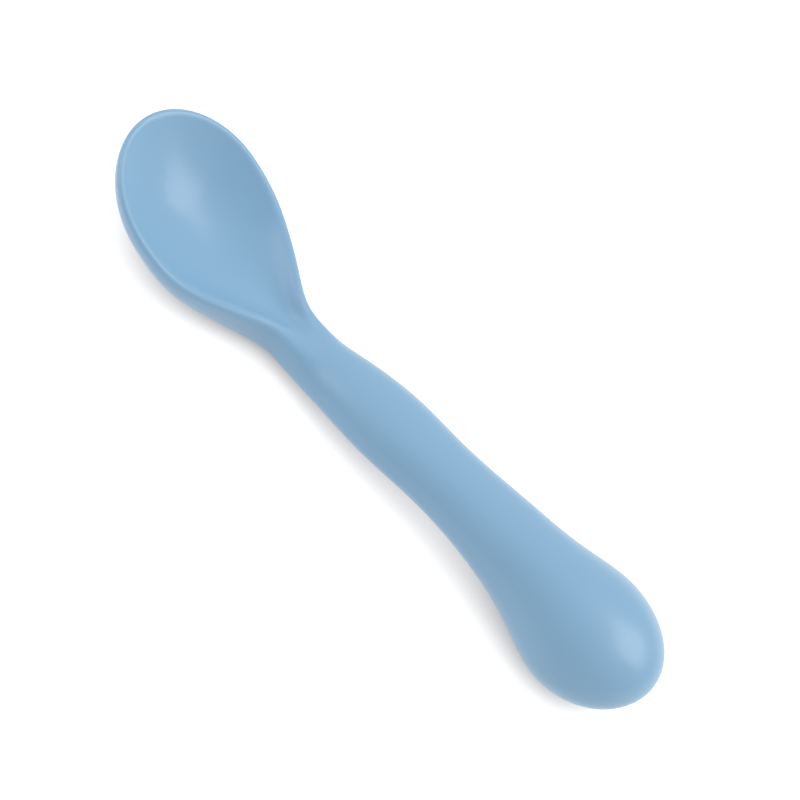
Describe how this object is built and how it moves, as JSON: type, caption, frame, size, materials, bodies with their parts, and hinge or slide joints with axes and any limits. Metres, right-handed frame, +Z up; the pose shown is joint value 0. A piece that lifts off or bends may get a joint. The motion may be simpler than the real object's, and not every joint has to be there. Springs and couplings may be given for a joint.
{
  "type": "baby feeding spoon",
  "caption": "Soft silicone baby feeding spoon with a deep oval bowl, slim neck and fat rounded handle end, moulded over a hidden stiff plastic core.",
  "frame": {"origin": "middle of the spoon's length and width, on the table it lies on", "axes": "+X from the handle's end towards the bowl's tip, +Y across the spoon, +Z up, out of the bowl"},
  "size_m": [0.14, 0.0318, 0.021],
  "materials": {
    "blue_silicone": "satin",
    "white_nylon": "matte"
  },
  "bodies": {
    "root": {"silicone_spoon_skin": "blue_silicone", "stiffening_core": "white_nylon"}
  },
  "joints": []
}
